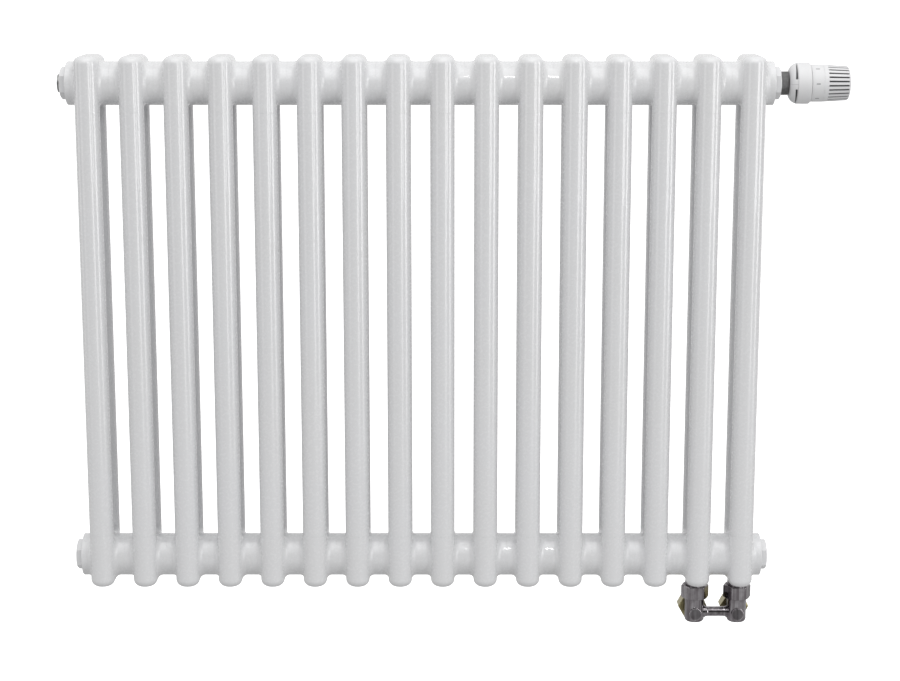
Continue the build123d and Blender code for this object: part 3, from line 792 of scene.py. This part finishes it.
@dataclass
class ValveNeck:
    """Knurled ring of the valve insert, with its nose, shank, neck and spring chamber.

    nose, shank, chamber and spindle are radii, and the chamber's ends count from the nose.
    """

    ring: float = 24.0 * MM
    ring_length: float = 7.7 * MM
    knurl_pitch: float = 1.15 * MM
    knurl_depth: float = 0.16 * MM
    knurl_fade: float = 0.7 * MM
    nose_length: float = 15.0 * MM
    nose: float = 7.0 * MM
    shank: float = 9.0 * MM
    chamber: float = 5.5 * MM
    chamber_start: float = 2.0 * MM
    chamber_end: float = 22.0 * MM
    spindle: float = 2.25 * MM
    sides: int = 520
    inner_sides: int = 64

    def build(self) -> None:
        """Make the insert."""
        insert = Measure.of("valve_insert")
        bush = Measure.of("valve_bush")
        start = bush.high.x
        axle = Axle(Vector((start, 0, insert.middle.z)), RIGHTWARD, FORWARD)
        ring, length = self.ring / 2, self.ring_length
        path = rounded([
            (0, self.shank, 0), (0, ring, 0.45 * MM), (length, ring, 0.45 * MM), (length, self.nose, 0),
        ])
        turns = round(math.pi * self.ring / self.knurl_pitch)

        def knurl(axial: np.ndarray, radius: np.ndarray, angle: np.ndarray) -> np.ndarray:
            """Radius less depth * |sin| of two crossing helices, fading at the rims."""
            phase = axial * math.pi / self.knurl_pitch
            first = np.abs(np.sin(angle * turns / 2 + phase))
            second = np.abs(np.sin(angle * turns / 2 - phase))
            rim = np.clip(np.minimum(axial, length - axial) / self.knurl_fade, 0, 1)
            outer = radius > ring - 0.6 * MM
            return radius - outer * rim * self.knurl_depth * (2 - first - second)

        skin = Skin()
        turned(skin, divided(path, 0.16 * MM), axle, self.sides, knurl)
        tip = insert.low.x - start
        neck = insert.high.x - start
        step = tip + self.nose_length
        first, last = tip + self.chamber_start, tip + self.chamber_end
        body = rounded([
            (tip, self.spindle, 0), (tip, self.nose, 0.4 * MM), (step, self.nose, 0),
            (step, self.shank, 0.4 * MM), (0.0, self.shank, 0), (length, self.nose, 0),
            (neck, self.nose, 0.4 * MM), (neck, self.spindle, 0), (last, self.spindle, 0),
            (last, self.chamber, 0), (first, self.chamber, 0), (first, self.spindle, 0),
        ])
        turned(skin, body, axle, self.inner_sides)
        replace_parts(skin.piece("rolled_valve_ring", Slot.KNURL, "radiator"), "valve_insert")


def bump(values: np.ndarray, low: float, high: float, soft: float) -> np.ndarray:
    """1 between low and high and 0 outside, with smooth sides that are soft wide.

    Args:
        values: Where to work it out.
        low: Middle of the rising side.
        high: Middle of the falling side.
        soft: Width of a side.

    Returns:
        The mask, by t^2 (3 - 2t) on each side.
    """
    up = np.clip((values - low) / soft + 0.5, 0, 1)
    down = np.clip((high - values) / soft + 0.5, 0, 1)
    return up * up * (3 - 2 * up) * down * down * (3 - 2 * down)


def elevation(angle: np.ndarray) -> np.ndarray:
    """Angle above the front from an axle's angle, from -pi to pi."""
    return (-angle + math.pi) % (2 * math.pi) - math.pi


@dataclass
class Thermostat:
    """White head: collar, base ring and handwheel."""

    collar_small: float = 10.2 * MM     # radius at the valve
    collar_neck: float = 7.05 * MM      # radius of the hole for the valve's neck
    collar_swell: float = 2.2 * MM
    collar_wall: float = 1.8 * MM
    collar_gap: float = 0.1 * MM
    collar_sides: int = 720
    window_start: float = 15.5          # degrees from the front, up and down
    window_end: float = 77.0
    window_width: float = 1.75 * MM
    window_rim: float = 0.55 * MM       # from the window's straight side to the base ring
    window_depth: float = 1.5 * MM
    hairline: float = 0.0095            # radians from its middle to its side
    hairline_depth: float = 0.18 * MM
    base_wall: float = 2.0 * MM
    base_gap: float = 0.4 * MM
    web: float = 5.3 * MM
    spindle: float = 2.25 * MM
    sleeve: float = 13.0 * MM
    sleeve_wall: float = 1.5 * MM
    wheel_wall: float = 2.0 * MM
    journal_start: float = 1.8 * MM
    journal_end: float = 4.8 * MM
    running: float = 0.05 * MM
    grip_start: float = 13.6 * MM       # from the wheel's neck end
    grip_small: float = 17.3 * MM       # radius at the domed end
    grip_step: float = 0.12 * MM        # how far the grip starts below the neck
    dome: float = 1.7 * MM
    slots: int = 26
    slot_sides: int = 30                # points round the wheel for each slot
    slot_width: float = 1.4 * MM
    slot_length: float = 20.4 * MM
    slot_reach: float = 24.0 * MM       # from the grip's start to a slot's end
    slot_depth: float = 1.75 * MM
    slot_phase: float = -4.6
    mark_first: int = -2
    mark_last: int = 3
    mark_step: float = 52.0
    mark_phase: float = 1.4
    mark_start: float = 4.0 * MM
    mark_width: float = 1.25 * MM
    mark_length: float = 4.0 * MM
    mark_ink: float = 0.62

    def collar(self) -> None:
        """Dome with two crescent windows on each side and a parting line."""
        box = Measure.of("head_collar")
        base = Measure.of("head_base")
        length = base.low.x - box.low.x - self.collar_gap
        large = box.size.y / 2
        small, neck = self.collar_small, self.collar_neck
        t = np.linspace(0.0, 1.0, 26)
        run = np.hypot(length, large - small)
        across = np.array([-(large - small), length]) / run

        def arc(inset: float) -> np.ndarray:
            """Line from rim to rim with a parabola 4t(1-t) of the swell on it, moved inwards."""
            start = np.array([inset, small - 0.3 * inset])
            end = np.array([length, large - inset])
            swell = 4 * self.collar_swell * t * (1 - t)
            return start + t[:, None] * (end - start) + swell[:, None] * across

        outer, inner = arc(0.0), arc(self.collar_wall)
        mouth = [[0.0, neck]]
        path = np.vstack([mouth, outer, inner[::-1], [[self.collar_wall, neck]], mouth])
        axle = Axle(Vector((box.low.x, 0, box.middle.z)), RIGHTWARD, FORWARD)

        def window(axial: np.ndarray, radius: np.ndarray, angle: np.ndarray) -> np.ndarray:
            """Crescents beside the rim that widen towards the front, where they end square."""
            rise = np.degrees(np.abs(elevation(angle)))
            rise = np.minimum(rise, 180 - rise)
            share = np.clip((self.window_end + 1 - rise) / 60, 0, 1) ** 0.8
            along = bump(rise, self.window_start, self.window_end, 2.0)
            edge = length - self.window_rim
            curved = bump(axial - edge + self.window_width * share, 0.0, ENDLESS, 0.25 * MM)
            straight = 1 - bump(axial, edge, ENDLESS, 0.2 * MM)
            return along * curved * straight * (radius > small)

        def parting(angle: np.ndarray) -> np.ndarray:
            """Hairline where the collar's halves meet, at the front and at the back."""
            rise = np.abs(elevation(angle))
            return bump(np.minimum(rise, math.pi - rise), -1.0, self.hairline, 0.006)

        def outside(axial: np.ndarray, radius: np.ndarray) -> np.ndarray:
            """True on the dome's outside, past a straight line from rim to rim."""
            return radius > small + (axial / length) * (large - small) + 0.05 * MM

        def busy(axial: np.ndarray, radius: np.ndarray) -> np.ndarray:
            """True where the windows are."""
            reach = self.window_rim + self.window_width + 0.4 * MM
            return outside(axial, radius) & (axial > length - reach)

        def cut(axial: np.ndarray, radius: np.ndarray, angle: np.ndarray) -> np.ndarray:
            """Radius less the windows' and the hairline's depth, on the outside only."""
            depth = self.window_depth * window(axial, radius, angle)
            return radius - outside(axial, radius) * (depth + self.hairline_depth * parting(angle))

        def shade(axial: np.ndarray, radius: np.ndarray, angle: np.ndarray) -> np.ndarray:
            """Painted shade, dark in the windows, and a faint dark line in the hairline."""
            faint = 0.35 * parting(angle) * (radius > small)
            return np.clip(window(axial, radius, angle) + faint, 0, 1)

        skin = Skin()
        turned(skin, divided(path, 0.22 * MM, busy), axle, self.collar_sides, cut, shade)
        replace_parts(skin.piece("collar_dome", Slot.PLASTIC, "radiator"), "head_collar")

    def base(self) -> None:
        """Fixed ring with its web and sleeve."""
        box = Measure.of("head_base")
        wheel = Measure.of("handwheel")
        radius = box.size.y / 2
        end = wheel.low.x - self.base_gap - box.low.x
        web = end - self.web
        sleeve_end = box.size.x
        hollow = self.sleeve - self.sleeve_wall
        inner = radius - self.base_wall
        path = rounded([
            (0, inner, 0.2 * MM), (0, radius - 0.1 * MM, 0.9 * MM), (end * 0.5, radius, 0.5 * MM),
            (end - 0.9 * MM, radius, 0.5 * MM), (end, radius - 0.9 * MM, 0.35 * MM),
            (end, self.sleeve, 0.2 * MM), (sleeve_end, self.sleeve, 0.3 * MM),
            (sleeve_end, hollow, 0.2 * MM), (end, hollow, 0), (end, self.spindle, 0.2 * MM),
            (web, self.spindle, 0.2 * MM), (web, inner, 0.3 * MM),
        ])
        axle = Axle(Vector((box.low.x, 0, box.middle.z)), RIGHTWARD, FORWARD)
        skin = Skin()
        turned(skin, divided(path, 1.0 * MM), axle, 160)
        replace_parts(skin.piece("base_ring", Slot.PLASTIC, "radiator"), "head_base")

    def wheel(self) -> None:
        """Handwheel: neck with printed marks, tapered grip with slots, and a domed end."""
        box = Measure.of("handwheel")
        length = box.size.x
        neck = box.size.y / 2
        grip = neck - self.grip_step
        small = self.grip_small
        shoulder = length - self.dome
        inside = neck - self.wheel_wall
        floor = length - self.wheel_wall
        slot_stop = self.grip_start + self.slot_reach
        slot_start = slot_stop - self.slot_length
        bore = self.sleeve + self.running
        path = rounded([
            (length, 0.0, 0), (length, small - 4.0 * MM, 2.6 * MM), (shoulder, small, 1.7 * MM),
            (self.grip_start, grip, 1.2 * MM), (self.grip_start - 2.0 * MM, neck, 1.0 * MM),
            (0, neck, 0.35 * MM), (0, inside, 0.15 * MM), (self.journal_start, inside, 0),
            (self.journal_start, bore, 0), (self.journal_end, bore, 0), (self.journal_end, inside, 0),
            (floor, small - self.wheel_wall - 0.4 * MM, 0.5 * MM), (floor, 0.0, 0),
        ])
        axle = Axle(Vector((box.low.x, 0, box.middle.z)), RIGHTWARD, FORWARD)
        step = 2 * math.pi / self.slots

        def slot(axial: np.ndarray, radius: np.ndarray, angle: np.ndarray) -> np.ndarray:
            """1 inside a slot, from how far an angle is from the nearest slot's middle."""
            rise = elevation(angle) - math.radians(self.slot_phase)
            off = np.abs((rise + step / 2) % step - step / 2) * small
            sides = 1 - bump(off, self.slot_width / 2, ENDLESS, 0.28 * MM)
            return sides * bump(axial, slot_start, slot_stop, 0.45 * MM)

        def surface(axial: np.ndarray) -> np.ndarray:
            """Radius of the outside at a place along the wheel."""
            share = np.clip((axial - self.grip_start) / (shoulder - self.grip_start), 0, 1)
            return grip + share * (small - grip)

        def outside(axial: np.ndarray, radius: np.ndarray) -> np.ndarray:
            """True on the wheel's outside."""
            return radius > surface(axial) - 0.4 * MM

        def busy(axial: np.ndarray, radius: np.ndarray) -> np.ndarray:
            """True beside the ends of the slots and of the marks."""
            mark_stop = self.mark_start + self.mark_length
            ends = np.array([slot_start, slot_stop, self.mark_start, mark_stop])
            near = np.abs(axial[:, None] - ends).min(1) < 0.6 * MM
            return outside(axial, radius) & near

        def cut(axial: np.ndarray, radius: np.ndarray, angle: np.ndarray) -> np.ndarray:
            """Radius less a slot's depth, on the outside only."""
            return radius - outside(axial, radius) * self.slot_depth * slot(axial, radius, angle)

        def shade(axial: np.ndarray, radius: np.ndarray, angle: np.ndarray) -> np.ndarray:
            """Painted shade, dark in the slots; grey print on the marks."""
            rise = np.degrees(elevation(angle)) - self.mark_phase
            number = np.round(rise / self.mark_step)
            off = np.radians(np.abs(rise - number * self.mark_step)) * neck
            band = bump(axial, self.mark_start, self.mark_start + self.mark_length, 0.3 * MM)
            mark = band * (1 - bump(off, self.mark_width / 2, ENDLESS, 0.3 * MM))
            mark = mark * (number >= self.mark_first) * (number <= self.mark_last)
            mark = mark * (radius > neck - 0.5 * MM)
            # painted shade in the slots
            dark = outside(axial, radius) * slot(axial, radius, angle)
            return np.maximum(dark, self.mark_ink * mark)

        skin = Skin()
        sides = self.slots * self.slot_sides
        turned(skin, divided(path, 0.21 * MM, busy), axle, sides, cut, shade)
        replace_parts(skin.piece("grip_wheel", Slot.PLASTIC, "handwheel"), "handwheel")

    def build(self) -> None:
        """Make the head and dress what is inside it."""
        self.collar()
        self.base()
        self.wheel()
        dress(["sensor"], Slot.DARK)
        dress(["head_union_nut"], Slot.BRASS)
        dress(["valve_spindle", "return_spring"], Slot.STEEL)
        dress(["header_discs"], Slot.SHEET)


# ---- H-block ----


@dataclass(frozen=True)
class Nut:
    """Hexagon nut with a lip at its foot; the hole and the lip's hole are radii."""

    flats: float
    hole: float
    lip_hole: float
    lip: float
    turn: float = 0.0           # degrees from the front to a flat
    bevel: float = 1.35 * MM
    sides: int = 168

    def add(self, skin: Skin, axle: Axle, length: float) -> None:
        """Add the nut to a skin, its foot at the axle's origin.

        Args:
            skin: The mesh being made.
            axle: The axis.
            length: Length of the nut.
        """
        corner = self.flats / math.sqrt(3) + 0.4 * MM
        rim = self.flats / 2 - 0.1 * MM
        path = rounded([
            (0, self.lip_hole, 0.2 * MM), (0, rim, 0.3 * MM), (self.bevel, corner, 0.3 * MM),
            (length - self.bevel, corner, 0.3 * MM), (length, rim, 0.3 * MM),
            (length, self.hole, 0.3 * MM), (self.lip, self.hole, 0), (self.lip, self.lip_hole, 0),
        ])
        limit = hexagonal(self.flats, math.radians(self.turn))
        turned(skin, divided(path, 1.1 * MM), axle, self.sides, limit)


@dataclass
class HBlock:
    """Bottom valve block: nuts, caps and bridge, with the two cast bodies of the frame."""

    union_nut: Nut = Nut(26.0 * MM, 10.5 * MM, 8.65 * MM, 2.5 * MM, 4.0)
    pipe_nut: Nut = Nut(27.0 * MM, 9.55 * MM, 9.5 * MM, 1.0 * MM)
    cap_thickness: float = 1.6 * MM
    cap_skirt: float = 2.2 * MM
    skirt_outer: float = 5.2 * MM
    skirt_inner: float = 4.0 * MM
    cap_rim: float = 0.75 * MM
    # strength of the painted dark reflection on the cap face
    cap_painted_reflection: float = 0.55
    bridge_bore: float = 3.0 * MM
    bead: float = 2.2 * MM
    waist_depth: float = 0.25 * MM
    round_sides: int = 96

    def places(self) -> tuple[float, float]:
        """The supply's and the return's place along X."""
        return Measure.of("shutoff_cap_supply").middle.x, Measure.of("shutoff_cap_return").middle.x

    def cap(self, side: str) -> None:
        """Round shut-off cap with a soft rim, a skirt behind it and a painted dark reflection on its
        face.
        """
        box = Measure.of(f"shutoff_cap_{side}")
        radius = box.size.x / 2
        face, skirt = self.cap_thickness, self.cap_skirt
        outer, inner = self.skirt_outer, self.skirt_inner
        path = rounded([
            (face, 0, 0), (face, radius - 1.6 * MM, 0.3 * MM), (face, radius, 0.55 * MM),
            (0, radius, 0.15 * MM), (0, outer, 0), (-skirt, outer, 0.25 * MM),
            (-skirt, inner, 0.15 * MM), (0, inner, 0.2 * MM), (0, 0, 0),
        ])

        def painted_reflection_mask(axial: np.ndarray, spoke: np.ndarray, angle: np.ndarray) -> np.ndarray:
            """Painted dark reflection: half-dark on the flat face, inside its polished rim."""
            inside = bump(spoke, -1.0, radius - self.cap_rim, 0.4 * MM)
            return self.cap_painted_reflection * inside * (axial > face / 2)

        foot = Vector((box.middle.x, box.low.y + face, box.middle.z))
        skin = Skin()
        axle = Axle(foot, FORWARD, UPWARD)
        turned(skin, divided(path, 0.9 * MM), axle, self.round_sides, None, painted_reflection_mask)
        made = skin.piece(f"cap_disc_{side}", Slot.NICKEL, f"{side}_cap")
        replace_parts(made, f"shutoff_cap_{side}")

    def bridge(self) -> None:
        """Bridge tube with a soft bead at each end."""
        box = Measure.of("hblock_bridge")
        radius, length = box.size.z / 2, box.size.x
        bore = self.bridge_bore
        path = rounded([(0, bore, 0), (0, radius, 0), (length, radius, 0), (length, bore, 0)], 1)

        def waist(axial: np.ndarray, spoke: np.ndarray, angle: np.ndarray) -> np.ndarray:
            """Radius less the waist's depth between the ends, which leaves a bead at each."""
            middle = bump(axial, self.bead, length - self.bead, 0.9 * MM)
            return spoke - self.waist_depth * middle * (spoke > radius - 1 * MM)

        skin = Skin()
        foot = Vector((box.low.x, 0, box.middle.z))
        axle = Axle(foot, RIGHTWARD, FORWARD)
        turned(skin, divided(path, 0.5 * MM), axle, self.round_sides, waist)
        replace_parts(skin.piece("bridge_tube", Slot.NICKEL, "radiator"), "hblock_bridge")

    def nuts(self) -> None:
        """Upright nuts under the last two sections, and level nuts that face the wall."""
        union = Measure.of("hblock_union_nuts")
        pipe = Measure.of("pipe_nuts")
        upright, level = Skin(), Skin()
        for x in self.places():
            foot = Vector((x, 0, union.low.z))
            self.union_nut.add(upright, Axle(foot, UPWARD, FORWARD), union.size.z)
            foot = Vector((x, pipe.low.y, pipe.middle.z))
            self.pipe_nut.add(level, Axle(foot, BACKWARD, UPWARD), pipe.size.y)
        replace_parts(upright.piece("union_hexagons", Slot.NICKEL, "radiator"), "hblock_union_nuts")
        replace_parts(level.piece("pipe_hexagons", Slot.OLIVE, "radiator"), "pipe_nuts")

    def build(self) -> None:
        """Make the block."""
        self.nuts()
        self.cap("supply")
        self.cap("return")
        self.bridge()
        dress(["connection_nipples", "hblock_supply_body", "hblock_return_body"], Slot.NICKEL)
        dress(["shutoff_stem_supply", "shutoff_stem_return"], Slot.BRASS)


@dataclass
class Heads:
    """Section heads of the frame, which keep their shape and take the enamel."""

    count: int = SECTION_COUNT

    def build(self) -> None:
        """Dress the top and bottom heads."""
        for row in ("top", "bottom"):
            dress([f"{row}_head_{number + 1:02d}" for number in range(self.count)], Slot.ENAMEL)


# ---- Studio ----


@dataclass
class Studio:
    """Pale floor, soft lights and camera."""

    camera_x: float = 0.0320
    camera_y: float = -2.095
    camera_z: float = 0.172
    pitch: float = 11.27
    yaw: float = 0.05
    lens: float = 81.7
    floor_drop: float = 0.35
    floor_size: float = 120.0
    sky: float = 0.84
    haze: float = 0.60
    below: float = 0.46
    gap: float = 0.06
    rear: float = 0.80
    rear_end: float = 0.17              # share of the compass from the back to the rear's end
    panels: tuple[tuple[float, float, float], ...] = (
        (-92, 8, 1.8), (-52, 7, 1.4), (33, 5, 4.2), (76, 6, 5.0),
    )                                   # degrees from the front, half width and brightness
    belt: tuple[tuple[float, float], ...] = ((0.36, 0.0), (0.44, 1.0), (0.66, 1.0), (0.74, 0.0))
    aim: tuple[float, float, float] = (0.0, 0.0, -0.23)

    def floor(self) -> None:
        """Wide flat floor, almost white and slightly glowing so that it stays even."""
        level = CAD_BOX[0][2] - self.floor_drop
        half = self.floor_size / 2
        mesh = bpy.data.meshes.new("floor")
        square = ((-half, -half), (half, -half), (half, half), (-half, half))
        mesh.from_pydata([(x, y, level) for x, y in square], [], [(0, 1, 2, 3)])
        ground = bpy.data.objects.new("floor", mesh)
        bpy.context.scene.collection.objects.link(ground)
        shop = NodeShop("floor_paint")
        mottle = shop.noise(1.5, 2.0)
        grey, white = (0.93, 0.93, 0.93, 1.0), (0.95, 0.95, 0.95, 1.0)
        pale = shop.mix(shop.spread(mottle, 0.0, 1.0), grey, white)
        mesh.materials.append(shop.finish({
            "Base Color": pale, "Roughness": 0.9,
            "Emission Color": (1.0, 1.0, 1.0, 1.0), "Emission Strength": 0.62,
        }))
        ground.visible_diffuse = False
        ground.visible_glossy = False

    def air(self) -> bpy.types.World:
        """Soft grey surroundings, with tall pale panels and dark gaps for gloss to reflect.

        The diffuse part follows the height of a direction. The reflected part follows the
        compass angle round the radiator near the horizon, and is a plain pale ceiling above.

        Returns:
            The world.
        """
        shop = NodeShop("soft_air", True)
        split = shop.add("ShaderNodeSeparateXYZ", {}, {0: shop.coordinates})
        height = split.out("Z") * 0.5 + 0.5
        soft = ((0.25, self.below), (0.5, self.haze), (0.85, self.sky))
        diffuse = shop.add("ShaderNodeValToRGB", {"stops": soft}, {0: height}).out("Color")
        behind = 0 - split.out("Y")
        turn = shop.add("ShaderNodeMath", {"operation": "ARCTAN2"}, {0: split.out("X"), 1: behind}).out()
        compass = turn * (0.5 / math.pi) + 0.5
        side = self.rear_end + 0.02
        stops = [(0.0, self.rear), (self.rear_end, self.rear), (side, self.gap)]
        for middle, half, glow in self.panels:
            place = middle / 360 + 0.5
            stops += [(place - 1.5 * half / 360, self.gap), (place - half / 360, glow)]
            stops += [(place + half / 360, glow), (place + 1.5 * half / 360, self.gap)]
        stops += [(1 - side, self.gap), (1 - self.rear_end, self.rear), (1.0, self.rear)]
        round_about = shop.add("ShaderNodeValToRGB", {"stops": stops}, {0: compass}).out("Color")
        level = shop.add("ShaderNodeValToRGB", {"stops": self.belt}, {0: height}).out("Color")
        mirror = shop.mix(level, diffuse, round_about)
        path = shop.add("ShaderNodeLightPath", {}, {})
        seen = shop.mix(path.out("Is Glossy Ray"), diffuse, mirror)
        seen = shop.mix(path.out("Is Camera Ray"), seen, (1.0, 1.0, 1.0, 1.0))
        shine = shop.add("ShaderNodeBackground", {}, {"Color": seen, "Strength": 1.0}).out()
        shop.add("ShaderNodeOutputWorld", {}, {"Surface": shine})
        return shop.owner

    def light(self, name: str, place: Sequence[float], size: Sequence[float], power: float) -> None:
        """A soft rectangular light that faces the radiator's middle.

        Args:
            name: The light's name.
            place: Where it stands.
            size: Width and height.
            power: Watts.
        """
        lamp = bpy.data.lights.new(name, "AREA")
        lamp.shape = "RECTANGLE"
        lamp.size, lamp.size_y = size
        lamp.energy = power
        lamp_object = bpy.data.objects.new(name, lamp)
        aim = Vector(self.aim) - Vector(place)
        lamp_object.location = place
        lamp_object.rotation_euler = aim.to_track_quat("-Z", "Y").to_euler()
        bpy.context.scene.collection.objects.link(lamp_object)

    def build(self) -> None:
        """Make the studio."""
        scene = bpy.context.scene
        scene.world = self.air()
        scene.world.cycles.sampling_method = "NONE"
        scene.view_settings.view_transform = "Standard"
        self.floor()
        self.light("top_light", (0.2, -1.2, 2.6), (3.2, 2.2), 24.0)
        self.light("side_light", (2.2, -2.0, 0.3), (0.5, 1.6), 10.0)
        self.light("spot_front", (0.2, -2.4, 1.9), (0.26, 0.26), 5.0)
        camera = bpy.data.cameras.new("camera")
        camera.lens = self.lens
        camera.sensor_width = 36.0
        camera.clip_end = 500.0
        eye = bpy.data.objects.new("camera", camera)
        eye.location = (self.camera_x, self.camera_y, self.camera_z)
        eye.rotation_euler = Euler((math.radians(90 - self.pitch), 0.0, math.radians(self.yaw)))
        scene.collection.objects.link(eye)
        scene.camera = eye


PAINTS = {slot: finish.build() for slot, finish in FINISHES.items()}


def main() -> None:
    """Build the looks round the frame."""
    logging.basicConfig(level=logging.INFO, format="%(message)s")
    Studio().build()
    Heads().build()
    Columns().build()
    Ends().build()
    ValveNeck().build()
    Thermostat().build()
    HBlock().build()


if __name__ == "__main__":
    main()
